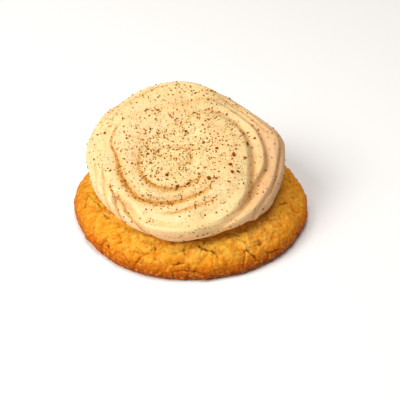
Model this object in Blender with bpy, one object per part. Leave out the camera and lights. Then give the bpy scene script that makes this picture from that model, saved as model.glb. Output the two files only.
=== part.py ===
"""A round sugar cookie under a thick swirl of mascarpone icing dusted with cocoa.

Two solids, in metres, +Z up, standing on the plane z = 0 with the origin under the
middle of the cookie and the front of the swirl towards -Y:

  cookie    the baked base, with its cracks and crags as relief
  frosting  the icing swirl with its folds, the largest cocoa flakes fused to it

Sizes below are in millimetres and become metres when a mesh is made. An angle is in
degrees, counted counter-clockwise from the front as seen from above.
"""

import math
import random

import bmesh
import bpy
import numpy as np
from mathutils import Matrix, Vector, noise
from mathutils.bvhtree import BVHTree

MM = 0.001

# ---- cookie ---------------------------------------------------------------------
COOKIE_RADIUS = 50.0
COOKIE_BELLY = 3.8          # height at which the cookie is widest
COOKIE_TOP = 13.2           # height of its flat top
COOKIE_FLAT = 34.0          # radius at which the top starts to fall away
COOKIE_FOOT = 47.4          # radius of the flat underside
COOKIE_FALL = 2.2           # how late the top edge turns down
COOKIE_SIDES = 144
COOKIE_INNER_RINGS = ((0.35, 4), (0.70, 2))     # share of the flat top, sides skipped
COOKIE_WOBBLE = ((2, 0.45, 20.0), (4, 0.30, 75.0), (6, 0.22, 10.0))

# The long cracks: (angle, radius, depth) along each, then its half width.
CRACKS = (
    (((5, 41.4, 0.9), (7, 42.2, 2.1), (9, 43.3, 2.2), (11, 43.9, 1.5), (12.5, 44.5, 1.8),
      (13.5, 45.4, 1.3), (14, 47.0, 0.7), (14, 48.8, 0.4)), 2.0),
    (((-1, 39.6, 0.4), (-2.5, 41.7, 1.2), (-3.5, 43.1, 1.5), (-5.5, 44.1, 1.2),
      (-8, 45.5, 0.5)), 2.0),
    (((-21, 39.5, 0.4), (-19.5, 42.0, 0.8), (-19, 43.6, 1.3), (-18.5, 45.1, 1.4),
      (-18, 46.0, 0.4)), 1.9),
    (((-31, 46.4, 0.5), (-29, 47.0, 1.1), (-27.5, 47.6, 1.2), (-25, 47.4, 0.4)), 1.9),
    (((-42, 47.9, 0.6), (-40, 47.0, 1.5), (-38, 46.2, 0.7)), 2.0),
    (((-44, 43.9, 0.5), (-42.5, 44.2, 1.2), (-41, 44.4, 0.5)), 1.9),
    (((-87, 44.7, 0.6), (-78, 41.8, 1.1), (-70, 40.4, 1.1), (-64, 41.0, 1.2),
      (-54, 40.8, 0.6)), 2.2),
    (((-46.5, 49.8, 1.0), (-45, 51.2, 2.1), (-43.5, 52.8, 1.2)), 3.0),
    (((-11, 50.2, 0.5), (-7.5, 50.0, 1.1), (-5, 49.3, 1.2), (-2, 48.7, 0.5)), 1.9),
    (((24, 35.8, 0.4), (24.5, 38.0, 1.4), (25.5, 39.6, 0.5)), 1.9),
    (((28.5, 37.4, 0.4), (30, 39.2, 1.3), (32, 40.6, 0.5)), 1.9),
    (((36.5, 37.6, 0.4), (38, 39.3, 1.4), (40, 40.6, 1.3), (43, 41.0, 0.4)), 1.9),
    (((35, 46.8, 0.5), (38.5, 47.2, 1.3), (41, 47.8, 0.6)), 2.0),
    (((69, 39.2, 0.5), (73, 40.2, 1.2), (77, 43.0, 1.7), (74, 45.6, 1.7),
      (72, 49.6, 0.9)), 2.2),
    (((112, 43.0, 0.6), (118, 46.0, 1.4), (128, 47.2, 1.6), (137, 49.6, 0.7)), 2.2),
    (((150, 49.0, 0.7), (161, 46.4, 1.6), (172, 47.2, 1.5), (183, 45.0, 0.6)), 2.2),
    (((205, 43.6, 0.6), (212, 46.6, 1.5), (224, 47.4, 1.5), (229, 49.8, 0.7)), 2.2),
    (((246, 41.0, 0.5), (252, 43.4, 1.2), (250, 46.8, 1.3), (257, 49.4, 0.6)), 2.0),
)
CRAZE_STEP = 9.5            # size of the plates that the fine crazing leaves
CRAZE_DEPTH = 0.7
CRAZE_HALF_WIDTH = 2.2
CRAZE_PATCH = 12.0          # size of the patches over which the crazing comes and goes
CRAG_SIZE = 6.0
CRAG_DEPTH = 0.7

# ---- frosting -------------------------------------------------------------------
GAP = 0.3                   # clearance between the icing and the cookie
FROSTING_SIDES = 112
# Rings over the icing: first level, last level, how many, and the sides skipped.
FROSTING_RINGS = ((0.09, 0.18, 2, 4), (0.24, 0.42, 4, 2), (0.47, 1.0, 11, 1),
                  (1.1, 2.0, 10, 1), (2.12, 3.0, 8, 1))
UNDER_SHARES = (0.94, 0.86)             # rings under the icing, as shares of its foot
# Tilted rings that the icing is lofted through, at levels 0 centre, 1 lip, 2 widest
# and 3 foot: middle x, y, z, radius, slope along x, slope along y, and how much
# longer the ring is along y than along x.
RINGS = (
    (-5.5, -5.0, 32.6, 0.0, 0.03, 0.27, 1.13),
    (-7.3, -1.4, 32.4, 31.2, 0.03, 0.27, 1.13),
    (-1.9, -0.7, 25.2, 41.9, -0.03, 0.11, 1.0),
    (-1.6, -0.8, 12.9, 37.3, 0.0, 0.0, 1.0),
)
LIP_DROOP = 0.32            # how far the top already leans down at the lip
SHOULDER_FULLNESS = 1.10    # 1.17 would be a quarter circle
BELLY_FULLNESS = 1.1
TUCK = (0.75, 0.65)         # inward and downward lean of the side at the foot
BELLY_WOBBLE = ((3, 1.3, -105.0),)      # strongest at the widest ring
FOOT_WOBBLE = ((4, 1.7, 48.0),)         # strongest at the foot

# Folds pressed into the icing: (angle, level, depth) along each, then the half width
# on the side of the centre and on the outer side. The first three are the strands of
# the swirl, which climb counter-clockwise from the right of the foot to the middle.
FOLDS = (
    (((338, 2.45, 0.0), (346, 2.30, 0.9), (353, 2.20, 1.5), (362, 2.18, 1.8),
      (369, 2.03, 1.9), (377, 1.88, 2.0), (384, 1.80, 2.1), (391, 1.73, 2.3),
      (401, 1.62, 2.5), (411, 1.53, 2.7), (420, 1.41, 2.8), (432, 1.26, 2.8),
      (448, 1.17, 2.8), (461, 1.11, 2.6), (471, 1.03, 2.3), (484, 0.92, 1.7),
      (500, 0.80, 1.1), (532, 0.50, 0.6), (571, 0.38, 0.5), (620, 0.45, 0.6),
      (654, 0.52, 0.9), (687, 0.54, 1.1), (721, 0.52, 1.0), (738, 0.49, 0.8),
      (755, 0.48, 0.5), (770, 0.52, 0.0)), 4.2, 9.0),
    (((47, 1.50, 0.6), (54, 1.49, 1.8), (60, 1.48, 2.5), (66, 1.46, 2.9), (73, 1.47, 3.1),
      (80, 1.50, 3.2), (87, 1.49, 3.2), (95, 1.45, 3.2), (102, 1.41, 3.0),
      (111, 1.36, 2.7), (121, 1.25, 2.3), (134, 1.12, 1.8), (148, 0.95, 1.2),
      (171, 0.75, 0.7), (206, 0.70, 0.6), (240, 0.84, 0.9), (259, 0.87, 1.3),
      (274, 0.78, 1.6), (294, 0.77, 1.9), (311, 0.78, 2.1), (326, 0.80, 2.1),
      (337, 0.78, 2.0), (350, 0.75, 1.8), (362, 0.72, 1.6), (379, 0.70, 1.2),
      (391, 0.71, 0.9), (408, 0.68, 0.4), (420, 0.68, 0.0)), 3.4, 9.0),
    (((37, 2.90, 0.8), (41, 2.40, 1.0), (46, 2.04, 1.2), (56, 1.90, 1.5),
      (65, 1.86, 1.8), (74, 1.82, 2.0), (82, 1.80, 2.1), (90, 1.79, 2.1),
      (98, 1.81, 2.1), (107, 1.79, 2.0), (114, 1.68, 1.9), (122, 1.60, 1.8),
      (131, 1.52, 1.9), (145, 1.32, 1.9), (162, 1.15, 1.7), (200, 0.98, 1.3),
      (240, 0.96, 0.7), (275, 0.93, 0.0)), 2.6, 4.5),
    (((62, 2.30, 0.0), (75, 2.10, 0.7), (90, 2.02, 0.9), (105, 2.02, 0.9),
      (120, 1.88, 1.0), (135, 1.72, 1.0), (152, 1.50, 0.9), (170, 1.36, 0.0)), 2.2, 2.4),
    (((100, 1.56, 0.0), (112, 1.50, 0.6), (124, 1.40, 0.7), (136, 1.28, 0.7),
      (150, 1.14, 0.0)), 1.8, 2.0),
    (((345, 0.92, 0.0), (361, 0.90, 0.6), (374, 0.86, 0.7), (393, 0.89, 0.6),
      (408, 0.92, 0.0)), 3.5, 4.0),
    (((118, 2.75, 1.2), (132, 2.35, 2.0), (150, 2.00, 2.4), (175, 1.68, 2.6),
      (205, 1.45, 2.2), (235, 1.30, 1.4), (262, 1.20, 0.6), (280, 1.12, 0.0)), 4.6, 4.6),
    (((172, 2.80, 1.2), (188, 2.45, 2.0), (210, 2.10, 2.4), (235, 1.85, 2.0),
      (262, 1.65, 1.1), (282, 1.50, 0.0)), 4.4, 4.6),
    (((21, 1.95, 0.0), (25, 2.35, 1.2), (27, 2.85, 1.6)), 2.4, 3.4),
    (((306, 0.94, 0.0), (313, 0.98, 0.9), (318, 1.06, 1.9), (321, 1.20, 2.8),
      (324, 1.42, 3.4), (327, 1.70, 3.5), (330, 1.98, 3.3), (333, 2.20, 3.0),
      (337, 2.50, 2.3), (341, 2.90, 1.5)), 4.5, 3.0),
    (((296, 0.95, 0.0), (303, 0.98, 0.8), (309, 1.05, 1.6), (312, 1.35, 2.4),
      (314, 1.85, 2.6), (316, 2.30, 2.4), (318, 2.90, 1.7)), 3.6, 3.2),
    (((280, 0.98, 0.0), (288, 1.00, 0.8), (295, 1.14, 1.5), (300, 1.55, 1.8),
      (303, 2.00, 1.8), (305, 2.40, 1.6), (307, 2.90, 1.1)), 3.6, 3.2),
    (((270, 1.15, 0.0), (275, 1.30, 0.9), (281, 1.42, 1.3), (287, 1.52, 1.1),
      (291, 1.85, 0.9), (294, 2.30, 0.8), (296, 2.90, 0.6)), 2.8, 2.8),
    (((285, 0.39, 0.0), (276, 0.30, 0.3), (234, 0.20, 0.4), (193, 0.12, 0.5),
      (129, 0.14, 0.5), (87, 0.19, 0.5), (49, 0.20, 0.4), (-6, 0.17, 0.0)), 2.0, 2.4),
)
# Broad swells, and hollows where the height is negative: angle, level, height, reach.
SWELLS = (
    (238, 1.50, 2.3, 13.0), (205, 1.20, 1.9, 14.0), (172, 1.30, 2.2, 13.0),
    (141, 1.50, -1.2, 9.0), (150, 1.85, 1.0, 9.0), (108, 1.90, 2.5, 9.0),
    (74, 2.60, -1.9, 8.0), (44, 2.60, -0.9, 7.0), (19, 2.50, -3.6, 8.5),
    (335, 2.95, -1.9, 8.0), (272, 2.40, -1.1, 8.0), (166, 0.80, -1.4, 6.5),
    (46, 2.45, 1.5, 2.2),
)
HEART = (-4.0, -1.5, 20.0)  # middle of the flattened ball that the icing grows from
HEART_AXIS = (0.0, -0.2, 1.0)
HEART_FLATNESS = 8.0
LUMP_SIZE = 15.0
LUMP_HEIGHT = 0.45

# ---- cocoa ----------------------------------------------------------------------
# The flakes that stand out, (angle, level, radius); smaller ones are drawn by a seed.
LARGE_FLAKES = (
    (83, 0.80, 1.00), (72, 0.78, 0.85), (65, 0.85, 0.85), (101, 1.18, 0.60),
    (159, 0.34, 0.70), (92, 0.55, 0.75), (95, 1.02, 0.85), (82, 0.97, 0.65),
    (47, 0.60, 0.85), (68, 0.92, 0.60), (3, 0.50, 0.85), (19, 0.49, 0.80),
    (29, 0.70, 0.65), (52, 0.69, 0.55), (110, 0.39, 0.65), (340, 0.35, 0.75),
    (253, 0.98, 0.60), (328, 2.10, 0.45), (255, 0.67, 0.50), (149, 0.92, 0.55),
)
FLAKES = 46
FLAKE_RADIUS = (0.30, 0.44)
FLAKE_NARROW = (0.60, 0.95)
FLAKE_HEIGHT = 0.6          # of its radius
FLAKE_SINK = 0.25           # part of its radius that a flake lies below the surface
FLAKE_SPACING = 2.0
SEED = 11


def front_angle(degrees):
    """Radians round +X for an angle counted from the front."""
    return np.radians(degrees) - math.pi / 2


def wobble(angle, waves):
    return sum(size * np.cos(count * angle + math.radians(shift))
               for count, size, shift in waves)


def smooth_path(stations, steps=24):
    """Points along a Catmull-Rom curve through the stations."""
    stations = np.array(stations, float)
    ends = 2 * stations[[0, -1]] - stations[[1, -2]]
    padded = np.vstack([ends[:1], stations, ends[1:]])
    t = np.linspace(0, 1, steps, endpoint=False)[:, None]
    runs = []
    for a, b, c, d in zip(padded, padded[1:], padded[2:], padded[3:]):
        runs.append(0.5 * (2 * b + (c - a) * t + (2 * a - 5 * b + 4 * c - d) * t**2
                           + (3 * b - a - 3 * c + d) * t**3))
    return np.vstack(runs + [stations[-1:]])


def press(depth, distance, half_width):
    """Depth of a crease with a sharp bottom and shoulders that run out smoothly."""
    return depth * np.clip(1 - distance / half_width, 0, 1) ** 2


def roll(depth, distance, half_width):
    """Depth of a rounded wall that comes down to a crease."""
    near = np.clip(1 - distance / half_width, 0, 1)
    return depth * near ** 2 * (3 - 2 * near)


# ---- cookie shape ---------------------------------------------------------------
def cookie_top(radius):
    """Height of the smooth top over which all relief is carved."""
    fall = np.clip((radius - COOKIE_FLAT) / (COOKIE_RADIUS - COOKIE_FLAT), 0, 1)
    return COOKIE_BELLY + (COOKIE_TOP - COOKIE_BELLY) * np.sqrt(1 - fall**COOKIE_FALL)


def cookie_profile():
    """(radius, height) from the middle of the top to the edge of the underside."""
    turn = np.sin(np.radians(np.linspace(0, 90, 12))) ** 1.1
    top = COOKIE_FLAT + (COOKIE_RADIUS - COOKIE_FLAT) * turn
    rows = [(radius, float(cookie_top(radius))) for radius in top]
    for angle in (30, 60, 90):
        sine, cosine = math.sin(math.radians(angle)), math.cos(math.radians(angle))
        rows.append((COOKIE_FOOT + (COOKIE_RADIUS - COOKIE_FOOT) * cosine,
                     COOKIE_BELLY * (1 - sine)))
    return rows


def craze_seeds():
    """Middles of the plates between the fine cracks, seeded, over the bare ring."""
    draw = random.Random(SEED)
    seeds = []
    for radius in np.arange(COOKIE_FLAT, COOKIE_RADIUS + CRAZE_STEP, CRAZE_STEP * 0.8):
        count = round(2 * math.pi * radius / CRAZE_STEP)
        for index in range(count):
            angle = 2 * math.pi * (index + draw.uniform(-0.35, 0.35)) / count
            out = radius + draw.uniform(-0.3, 0.3) * CRAZE_STEP
            seeds.append((out * math.cos(angle), out * math.sin(angle)))
    return np.array(seeds)


def cookie_relief(angle, run, height, place):
    """How far the crust lies below its smooth envelope, at a run from the middle."""
    flat = np.stack([run * np.cos(angle), run * np.sin(angle)], -1)
    gaps = np.linalg.norm(flat[:, None] - craze_seeds()[None], axis=-1)
    gaps.sort(axis=1)
    sunk = press(CRAZE_DEPTH, gaps[:, 1] - gaps[:, 0], CRAZE_HALF_WIDTH)
    patches = np.array([noise.noise(Vector(point / CRAZE_PATCH)) for point in place])
    sunk = sunk * np.clip(0.5 + 1.5 * patches, 0, 1)
    for stations, half_width in CRACKS:
        path = smooth_path(stations)
        around = front_angle(path[:, 0])
        line = np.stack([path[:, 1] * np.cos(around), path[:, 1] * np.sin(around)], -1)
        gaps = np.linalg.norm(flat[:, None] - line[None], axis=-1)
        sunk = sunk + press(path[gaps.argmin(axis=1), 2], gaps.min(axis=1), half_width)
    crags = np.array([noise.noise(Vector(point / CRAG_SIZE)) for point in place])
    sunk = sunk + CRAG_DEPTH * np.clip(0.5 - crags, 0, 1)
    bare = np.clip((run - COOKIE_FLAT - 1) / 4, 0, 1)
    raised = np.clip((height - 0.2) / 2.5, 0, 1)
    return sunk * bare * raised


def make_cookie():
    sides = np.arange(COOKIE_SIDES) * 2 * math.pi / COOKIE_SIDES
    profile = np.array(cookie_profile())
    slope = np.gradient(profile, axis=0)
    normals = np.stack([-slope[:, 1], slope[:, 0]], -1)
    normals /= np.linalg.norm(normals, axis=1, keepdims=True)
    runs = profile[0, 0] + np.concatenate(
        [[0], np.cumsum(np.linalg.norm(np.diff(profile, axis=0), axis=1))])
    mesh = bmesh.new()
    rows = []
    for share, count in COOKIE_INNER_RINGS:
        ring = sides[::count]
        rows.append(np.stack([share * COOKIE_FLAT * np.cos(ring),
                              share * COOKIE_FLAT * np.sin(ring),
                              np.full(ring.shape, COOKIE_TOP)], -1))
    swell = wobble(sides, COOKIE_WOBBLE)
    for (radius, height), (out, up), run in zip(profile, normals, runs):
        share = np.clip((radius - COOKIE_FLAT) / (COOKIE_FOOT - COOKIE_FLAT), 0, 1)
        wide = radius + share * swell
        place = np.stack([wide * np.cos(sides), wide * np.sin(sides),
                          np.full(sides.shape, height)], -1)
        sunk = cookie_relief(sides, run, height, place)
        lean = np.stack([-out * np.cos(sides), -out * np.sin(sides),
                         np.full(sides.shape, -up)], -1)
        rows.append(place + sunk[:, None] * lean)
    middle = (0.0, 0.0, COOKIE_TOP)
    loft(mesh, middle, rows, (0.0, 0.0, 0.0))
    return finish_object(mesh, "cookie")


# ---- frosting shape -------------------------------------------------------------
def ring_point(index, angle):
    """Points of one of the rings."""
    x, y, z, radius, slope_x, slope_y, stretch = RINGS[index]
    radius = radius + (0, 0, 1, 0)[index] * wobble(angle, BELLY_WOBBLE)
    radius = radius + (0, 0, 0.33, 1)[index] * wobble(angle, FOOT_WOBBLE)
    east = radius * np.cos(angle)
    north = stretch * radius * np.sin(angle)
    return np.stack([x + east, y + north, z + slope_x * east + slope_y * north], -1)


def bow(start, end, leave, arrive, t):
    """Cubic from start to end that leaves and arrives along two vectors."""
    t = t[..., None]
    return ((2 * t**3 - 3 * t**2 + 1) * start + (t**3 - 2 * t**2 + t) * leave
            + (3 * t**2 - 2 * t**3) * end + (t**3 - t**2) * arrive)


def unit(vector):
    return vector / np.linalg.norm(vector, axis=-1, keepdims=True)


def icing_point(angle, level):
    """The smooth body of the icing, before its folds, at an angle and a level."""
    angle, level = np.broadcast_arrays(np.asarray(angle, float), level)
    middle, lip, belly, foot = (ring_point(index, angle) for index in range(4))
    down = np.array([0.0, 0.0, -1.0])
    inward = -np.stack([np.cos(angle), np.sin(angle), 0 * angle], -1)
    reach = np.linalg.norm(lip - middle, axis=-1, keepdims=True)
    over = unit(unit(lip - middle) + LIP_DROOP * down)
    shoulder = SHOULDER_FULLNESS * np.linalg.norm(belly - lip, axis=-1, keepdims=True)
    side = BELLY_FULLNESS * np.linalg.norm(foot - belly, axis=-1, keepdims=True)
    tuck = TUCK[0] * inward + TUCK[1] * down
    flat = lip - np.array(RINGS[1][:3])
    top = bow(middle, lip, flat, over * reach, np.clip(level, 0, 1))
    edge = bow(lip, belly, over * shoulder, down * shoulder, np.clip(level - 1, 0, 1))
    wall = bow(belly, foot, down * side, tuck * side, np.clip(level - 2, 0, 1))
    level = level[..., None]
    return np.where(level < 1, top, np.where(level < 2, edge, wall))


def outward(place):
    """Direction away from the flat heart of the icing, in which it swells or sinks."""
    offset = place - np.array(HEART)
    axis = np.array(HEART_AXIS) / np.linalg.norm(HEART_AXIS)
    away = offset + (HEART_FLATNESS - 1) * (offset @ axis)[..., None] * axis
    return away / np.linalg.norm(away, axis=-1, keepdims=True)


def fold_depth(places, normals):
    """How far the folds press the icing in at each place."""
    sunk = np.zeros(len(places))
    for stations, inner_width, outer_width in FOLDS:
        path = smooth_path(stations)
        around = front_angle(path[:, 0])
        line = icing_point(around, path[:, 1])
        heading = np.gradient(line, axis=0)
        offset = places[:, None] - line[None]
        nearest = np.linalg.norm(offset, axis=-1).argmin(axis=1)
        index = np.arange(len(places))
        gap = offset[index, nearest]
        distance = np.linalg.norm(gap, axis=1)
        side = (np.cross(heading[nearest], normals) * gap).sum(axis=1)
        if stations[-1][0] < stations[0][0]:
            side = -side
        depth = np.clip(path[nearest, 2], 0, None)
        sunk += np.where(side < 0, roll(depth, distance, inner_width),
                         press(depth, distance, outer_width))
    return sunk


def swelling(places):
    """How far the broad swells push the icing out at each place."""
    raised = np.zeros(len(places))
    for angle, level, height, reach in SWELLS:
        middle = icing_point(front_angle(angle), level)
        distance = np.linalg.norm(places - middle, axis=1)
        raised += height * np.exp(-(distance / reach) ** 2)
    return raised


def shape_icing(angle, level):
    """Points of the finished icing on a ring of angles at one level."""
    place = icing_point(angle, level)
    normal = outward(place)
    lumps = np.array([noise.noise(Vector(point / LUMP_SIZE)) for point in place])
    push = LUMP_HEIGHT * lumps + swelling(place) - fold_depth(place, normal)
    return place + push[:, None] * normal


def seat(place):
    """Height of the icing's underside over each place."""
    return cookie_top(np.linalg.norm(place[..., :2], axis=-1)) + GAP


def make_frosting():
    sides = np.arange(FROSTING_SIDES) * 2 * math.pi / FROSTING_SIDES
    foot = shape_icing(sides, 3.0)
    rise = seat(foot) - foot[:, 2]
    rows = []
    for start, stop, count, stride in FROSTING_RINGS:
        for level in np.linspace(start, stop, count):
            ring = shape_icing(sides[::stride], level)
            ring[:, 2] += rise[::stride] * max(level - 2, 0) ** 2
            rows.append(ring)
    rows[-1][:, 2] = seat(rows[-1])
    middle_x, middle_y = RINGS[3][:2]
    for share in UNDER_SHARES:
        under = foot.copy()
        under[:, 0] = middle_x + share * (foot[:, 0] - middle_x)
        under[:, 1] = middle_y + share * (foot[:, 1] - middle_y)
        under[:, 2] = seat(under)
        rows.append(under)
    mesh = bmesh.new()
    middle = RINGS[0][:3]
    loft(mesh, middle, rows, (middle_x, middle_y, COOKIE_TOP + GAP))
    frosting = finish_object(mesh, "frosting")
    fuse(frosting, cocoa_flakes(frosting))
    return frosting


# ---- cocoa flakes ---------------------------------------------------------------
def flake_draws(draw):
    """Angle, level and radius of the listed flakes, then of random ones without end."""
    yield from LARGE_FLAKES
    while True:
        yield draw.uniform(0, 360), 0.95 * math.sqrt(draw.random()), draw.uniform(*FLAKE_RADIUS)


def cocoa_flakes(body):
    """The largest flakes, as small uneven pebbles that lie in the surface."""
    draw = random.Random(SEED)
    vertices = [vertex.co for vertex in body.data.vertices]
    faces = [face.vertices for face in body.data.polygons]
    surface = BVHTree.FromPolygons(vertices, faces)
    flakes = []
    taken = []
    for degrees, level, radius in flake_draws(draw):
        turn = Matrix.Rotation(draw.uniform(0, math.pi), 4, "Z")
        stretch = Matrix.Diagonal((1.0, draw.uniform(*FLAKE_NARROW), FLAKE_HEIGHT, 1.0))
        smooth_place = Vector(icing_point(front_angle(degrees), level)) * MM
        place, normal, *_ = surface.find_nearest(smooth_place)
        if any((place - other).length < FLAKE_SPACING * MM for other in taken):
            continue
        taken.append(place)
        upright = normal.to_track_quat("Z", "Y").to_matrix().to_4x4()
        centre = place + normal * radius * MM * (FLAKE_HEIGHT - FLAKE_SINK)
        mesh = bmesh.new()
        bmesh.ops.create_icosphere(
            mesh, subdivisions=1, radius=radius * MM,
            matrix=Matrix.Translation(centre) @ upright @ turn @ stretch)
        data = bpy.data.meshes.new("flake")
        mesh.to_mesh(data)
        mesh.free()
        flakes.append(bpy.data.objects.new("flake", data))
        if len(flakes) == FLAKES:
            return flakes


def fuse(body, pieces):
    """Join the pieces to the body by one Boolean union, then remove them."""
    group = bpy.data.collections.new("fused")
    bpy.context.scene.collection.children.link(group)
    for piece in pieces:
        group.objects.link(piece)
    union = body.modifiers.new("fuse", "BOOLEAN")
    union.operation = "UNION"
    union.operand_type = "COLLECTION"
    union.collection = group
    union.solver = "EXACT"
    bpy.context.view_layer.objects.active = body
    bpy.ops.object.modifier_apply(modifier=union.name)
    for piece in pieces:
        bpy.data.objects.remove(piece)
    bpy.data.collections.remove(group)


# ---- meshes ---------------------------------------------------------------------
def loft(mesh, first, rows, last):
    """Close rows of points into one body between two end points.

    A row has as many points as the one before it, or twice as many.
    """
    top = mesh.verts.new(Vector(first) * MM)
    rings = [[mesh.verts.new(Vector(point) * MM) for point in row] for row in rows]
    bottom = mesh.verts.new(Vector(last) * MM)
    count = len(rings[0])
    for index in range(count):
        mesh.faces.new((top, rings[0][index], rings[0][(index + 1) % count]))
    for upper, lower in zip(rings, rings[1:]):
        stitch(mesh, upper, lower)
    ring = rings[-1]
    count = len(ring)
    for index in range(count):
        mesh.faces.new((bottom, ring[(index + 1) % count], ring[index]))


def stitch(mesh, upper, lower):
    """Faces between two rings."""
    count = len(upper)
    fine = len(lower) // count
    for index in range(count):
        a, b = upper[index], upper[(index + 1) % count]
        below = [lower[(index * fine + step) % len(lower)] for step in range(fine + 1)]
        if fine == 1:
            mesh.faces.new((a, below[0], below[1], b))
        else:
            mesh.faces.new((a, below[0], below[1]))
            mesh.faces.new((a, below[1], b))
            mesh.faces.new((b, below[1], below[2]))


def finish_object(mesh, name):
    """An object with smooth, outward triangles."""
    bmesh.ops.triangulate(mesh, faces=mesh.faces[:])
    bmesh.ops.recalc_face_normals(mesh, faces=mesh.faces[:])
    data = bpy.data.meshes.new(name)
    mesh.to_mesh(data)
    mesh.free()
    data.shade_smooth()
    made = bpy.data.objects.new(name, data)
    bpy.context.scene.collection.objects.link(made)
    return made


def paint(thing, name, colour, roughness):
    material = bpy.data.materials.new(name)
    material.use_nodes = True
    shader = material.node_tree.nodes["Principled BSDF"]
    shader.inputs["Base Color"].default_value = (*colour, 1)
    shader.inputs["Roughness"].default_value = roughness
    shader.inputs["Metallic"].default_value = 0.0
    thing.data.materials.clear()
    thing.data.materials.append(material)


def main():
    for thing in list(bpy.data.objects):
        bpy.data.objects.remove(thing)
    paint(make_cookie(), "baked crust", (0.60, 0.32, 0.08), 0.75)
    paint(make_frosting(), "coffee icing", (0.83, 0.62, 0.36), 0.45)


main()
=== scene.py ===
# %% [markdown]
# # A frosted cookie
#
# This lesson makes a round sugar cookie under a thick, leaning swirl of coffee icing
# dusted with cocoa. The real thing is two lumps of food: a crust that rose and cracked
# in the oven, and soft icing spread on it with a knife, on which cocoa was sieved.
#
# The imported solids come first, as a fixed frame. Each piece below takes its place from
# them, is made at its real size in metres, and then stands for its plain solid.

# %% Load the frame
import math
import random

import bpy
import numpy as np
from mathutils import Matrix, Vector, noise
from mathutils.bvhtree import BVHTree


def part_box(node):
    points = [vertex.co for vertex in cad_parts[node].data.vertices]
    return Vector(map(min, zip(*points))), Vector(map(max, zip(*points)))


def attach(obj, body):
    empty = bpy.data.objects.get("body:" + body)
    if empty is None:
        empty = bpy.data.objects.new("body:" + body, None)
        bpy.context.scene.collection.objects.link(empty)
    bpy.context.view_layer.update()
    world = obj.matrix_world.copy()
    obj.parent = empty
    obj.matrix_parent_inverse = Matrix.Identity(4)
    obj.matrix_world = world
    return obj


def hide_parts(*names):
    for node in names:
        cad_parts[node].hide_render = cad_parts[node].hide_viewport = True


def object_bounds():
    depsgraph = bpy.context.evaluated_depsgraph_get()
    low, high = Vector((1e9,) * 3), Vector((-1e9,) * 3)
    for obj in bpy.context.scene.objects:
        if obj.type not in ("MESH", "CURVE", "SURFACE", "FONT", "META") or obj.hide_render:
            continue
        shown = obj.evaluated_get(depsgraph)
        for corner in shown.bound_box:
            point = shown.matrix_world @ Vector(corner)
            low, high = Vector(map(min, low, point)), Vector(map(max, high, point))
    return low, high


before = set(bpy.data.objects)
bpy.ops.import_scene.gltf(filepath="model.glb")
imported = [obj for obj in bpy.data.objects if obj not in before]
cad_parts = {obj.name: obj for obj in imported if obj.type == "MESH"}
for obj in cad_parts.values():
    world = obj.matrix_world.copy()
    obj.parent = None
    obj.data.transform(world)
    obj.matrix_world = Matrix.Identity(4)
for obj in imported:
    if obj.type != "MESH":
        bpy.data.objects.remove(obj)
cad_low, cad_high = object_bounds()
cookie_low, cookie_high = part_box("cookie")
frosting_low, frosting_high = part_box("frosting")
MM = 0.001
print("the solids stand", round((cad_high.z - cad_low.z) / MM, 1), "mm tall")

# %% [markdown]
# ## Working as by hand
#
# An operator acts on whatever is selected, so every step starts with nothing selected.
# What it adds is then given its own name.

# %% Selecting and naming
def select_only(thing):
    """Object mode, with this object active and alone in the selection."""
    if bpy.context.object and bpy.context.object.mode != "OBJECT":
        bpy.ops.object.mode_set(mode="OBJECT")
    bpy.ops.object.select_all(action="DESELECT")
    if thing:
        thing.select_set(True)
        bpy.context.view_layer.objects.active = thing


def named(name):
    """The object an operator has just added, under its own name."""
    thing = bpy.context.object
    thing.name = name
    thing.data.name = name
    return thing


def tenths(numbers):
    """A number or several, rounded for printing."""
    return np.round(numbers, 1).tolist()


select_only(None)
print("nothing selected:", not bpy.context.selected_objects)

# %% [markdown]
# ## The camera and the light
#
# The camera stands well back with a long lens, looking down at a little over a third of
# a right angle. The light is a big soft window to the left with a bright room around,
# so the right side of the swirl turns away into a soft shade.

# %% Camera
VIEW_TARGET = Vector((4.0, 2.7, 3.7)) * MM
VIEW_HEIGHT = math.radians(36)
VIEW_DISTANCE = 0.598
bpy.ops.object.camera_add()
camera = named("camera")
camera.data.lens = 123.5
camera.data.sensor_width = 36
back = Vector((0, -math.cos(VIEW_HEIGHT), math.sin(VIEW_HEIGHT)))
camera.location = VIEW_TARGET + VIEW_DISTANCE * back
camera.rotation_euler = back.to_track_quat("Z", "Y").to_euler()
bpy.context.scene.camera = camera
print("camera", VIEW_DISTANCE, "m away")

# %% Window and room
SUBJECT = Vector((0.0, 0.0, 0.02))
# Name, place, width, power and colour of the square soft lights.
LIGHTS = (
    ("window", (-0.62, -0.30, 0.68), 0.55, 7.6, (1.0, 0.98, 0.95)),
    ("ceiling", (0.0, 0.0, 0.97), 0.5, 5.2, (1.0, 0.975, 0.94)),
)
for name, place, width, power, colour in LIGHTS:
    bpy.ops.object.light_add(type="AREA", location=place)
    light = named(name)
    light.rotation_euler = (Vector(place) - SUBJECT).to_track_quat("Z", "Y").to_euler()
    light.data.size = width
    light.data.energy = power
    light.data.color = colour

world = bpy.data.worlds.new("room")
bpy.context.scene.world = world
world.use_nodes = True
room = world.node_tree.nodes["Background"]
room.inputs["Color"].default_value = (1.0, 0.95, 0.91, 1)
room.inputs["Strength"].default_value = 0.17
bpy.context.scene.view_settings.view_transform = "Standard"
print("lit by", len(LIGHTS), "lights and the room")

# %% A plain pale floor
def new_material(name, roughness, shine=0.5):
    """A material with a Principled shader, and its node tree."""
    material = bpy.data.materials.new(name)
    material.use_nodes = True
    shader = material.node_tree.nodes["Principled BSDF"]
    shader.inputs["Roughness"].default_value = roughness
    shader.inputs["Specular IOR Level"].default_value = shine
    return material, material.node_tree, shader


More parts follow.
